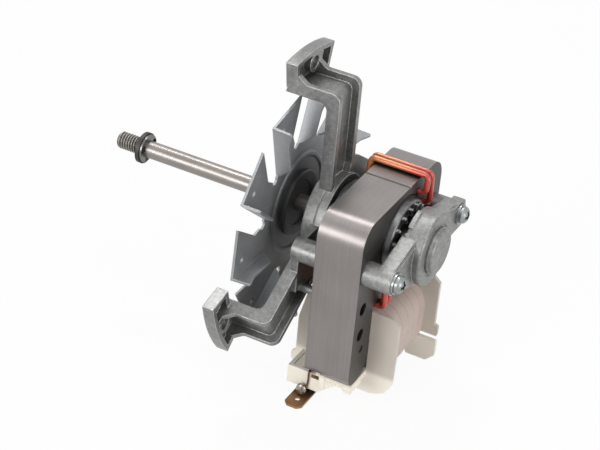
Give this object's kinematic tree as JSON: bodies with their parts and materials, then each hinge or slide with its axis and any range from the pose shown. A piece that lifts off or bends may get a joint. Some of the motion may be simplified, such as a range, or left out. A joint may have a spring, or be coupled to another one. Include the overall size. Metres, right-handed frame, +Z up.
{
  "type": "oven fan motor",
  "caption": "Shaded-pole appliance fan motor with a long threaded shaft, a stamped cooling fan, a die-cast legged bracket with mounting feet and a coil with spade terminals.",
  "frame": {"origin": "on the shaft axis, in the plane that the three mounting feet bear on", "axes": "+Y along the shaft towards its threaded end, +Z up with the coil hanging below, +X to the right seen from the rear"},
  "size_m": [0.1052, 0.1204, 0.1095],
  "materials": {
    "frame_laminations": "stacked electrical steel, satin edges",
    "rotor_laminations": "turned electrical steel, dull",
    "cage_casting": "cast, dark",
    "bobbin_moulding": "off-white moulding",
    "copper_winding": "enamelled copper wire",
    "coil_tape": "pinkish cloth tape",
    "lacquered_copper": "copper wire with orange-red lacquer",
    "front_casting": "die-cast, lightly blasted",
    "rear_casting": "die-cast, matte grey",
    "sintered_bronze": "sintered, oily",
    "spring_steel": "dark spring steel",
    "felt": "oil-soaked felt",
    "bright_zinc": "bright zinc plate",
    "terminal_brass": "tarnished brass",
    "solder": "dull tin",
    "ground_steel": "ground and polished",
    "spacer_steel": "turned steel",
    "black_moulding": "black moulding",
    "fan_sheet": "dull dark-grey steel sheet",
    "seat_steel": "dark steel washer"
  },
  "bodies": {
    "motor_frame": {"stator_core": "frame_laminations", "coil_core": "frame_laminations", "bobbin": "bobbin_moulding", "coil_winding": "copper_winding", "coil_tape": "coil_tape", "shading_rings_upper": "lacquered_copper", "shading_rings_lower": "lacquered_copper", "front_bracket": "front_casting", "rear_bracket": "rear_casting", "front_bearing": "sintered_bronze", "rear_bearing": "sintered_bronze", "bearing_retainers": "spring_steel", "oil_felts": "felt", "through_screws": "bright_zinc", "screw_washers": "bright_zinc", "left_spade_terminal": "terminal_brass", "right_spade_terminal": "terminal_brass", "left_lead_wire": "lacquered_copper", "right_lead_wire": "lacquered_copper", "solder_joints": "solder"},
    "rotor": {"shaft": "ground_steel", "rotor_core": "rotor_laminations", "rotor_cage": "cage_casting", "front_spacer": "spacer_steel", "rear_spacer": "spacer_steel", "thrust_washers": "black_moulding", "fan_hub": "black_moulding", "cooling_fan": "fan_sheet", "retaining_clips": "spring_steel", "seat_washer": "seat_steel"}
  },
  "joints": [
    {"name": "rotor_spin", "type": "hinge", "parent": "motor_frame", "child": "rotor", "pos_m": [0, 0, 0], "axis": [0, 1, 0], "continuous": true}
  ]
}
